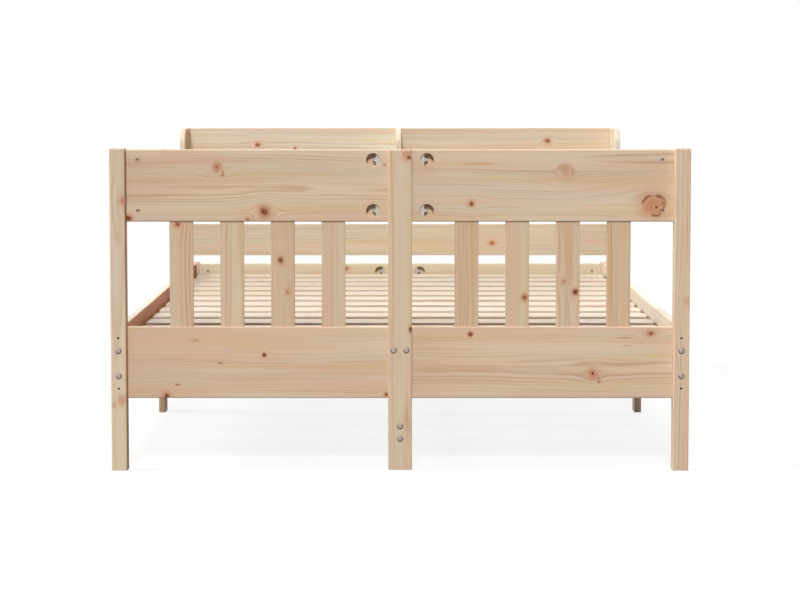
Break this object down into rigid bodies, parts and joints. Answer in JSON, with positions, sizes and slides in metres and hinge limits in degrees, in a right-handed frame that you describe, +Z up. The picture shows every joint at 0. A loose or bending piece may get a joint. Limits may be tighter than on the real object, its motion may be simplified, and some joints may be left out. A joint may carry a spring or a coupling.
{
  "type": "bed frame",
  "caption": "Solid pine double bed frame with a high slatted foot end, a low head end, screwed slats on ledgers and a centre beam, and an open-top bookcase behind the head.",
  "frame": {"origin": "on the floor, under the middle of the whole object", "axes": "+X to the right seen from the foot end, +Y from the foot end to the bookcase, +Z up"},
  "size_m": [1.516, 2.3034, 0.825],
  "materials": {
    "pine": "sanded bare pine with knots",
    "beech": "turned beech dowel",
    "zinc_steel": "bright zinc plated steel"
  },
  "bodies": {
    "root": {"baluster_1": "pine", "baluster_2": "pine", "baluster_3": "pine", "baluster_4": "pine", "baluster_5": "pine", "baluster_6": "pine", "baluster_7": "pine", "baluster_8": "pine", "barrel_nuts": "zinc_steel", "bookcase_back_left": "pine", "bookcase_back_right": "pine", "bookcase_centre_leg": "pine", "bookcase_divider": "pine", "bookcase_headrest_board": "pine", "bookcase_screws": "zinc_steel", "bookcase_shelf": "pine", "bookcase_side_left": "pine", "bookcase_side_right": "pine", "bookcase_tie_rail": "pine", "centre_beam": "pine", "centre_bolts": "zinc_steel", "centre_leg_left": "pine", "centre_leg_right": "pine", "centre_rods": "zinc_steel", "corner_bolts": "zinc_steel", "dowels": "beech", "foot_centre_post": "pine", "foot_lower_rail_left": "pine", "foot_lower_rail_right": "pine", "foot_post_left": "pine", "foot_post_right": "pine", "foot_upper_rail_left": "pine", "foot_upper_rail_right": "pine", "half_moon_washers": "zinc_steel", "head_centre_post": "pine", "head_post_left": "pine", "head_post_right": "pine", "head_rail_left": "pine", "head_rail_right": "pine", "ledger_left": "pine", "ledger_right": "pine", "lower_stretcher": "pine", "rod_nuts": "zinc_steel", "side_leg_left": "pine", "side_leg_right": "pine", "side_rail_left": "pine", "side_rail_right": "pine", "slat_01": "pine", "slat_02": "pine", "slat_03": "pine", "slat_04": "pine", "slat_05": "pine", "slat_06": "pine", "slat_07": "pine", "slat_08": "pine", "slat_09": "pine", "slat_10": "pine", "slat_11": "pine", "slat_12": "pine", "wood_screws": "zinc_steel"}
  },
  "joints": []
}
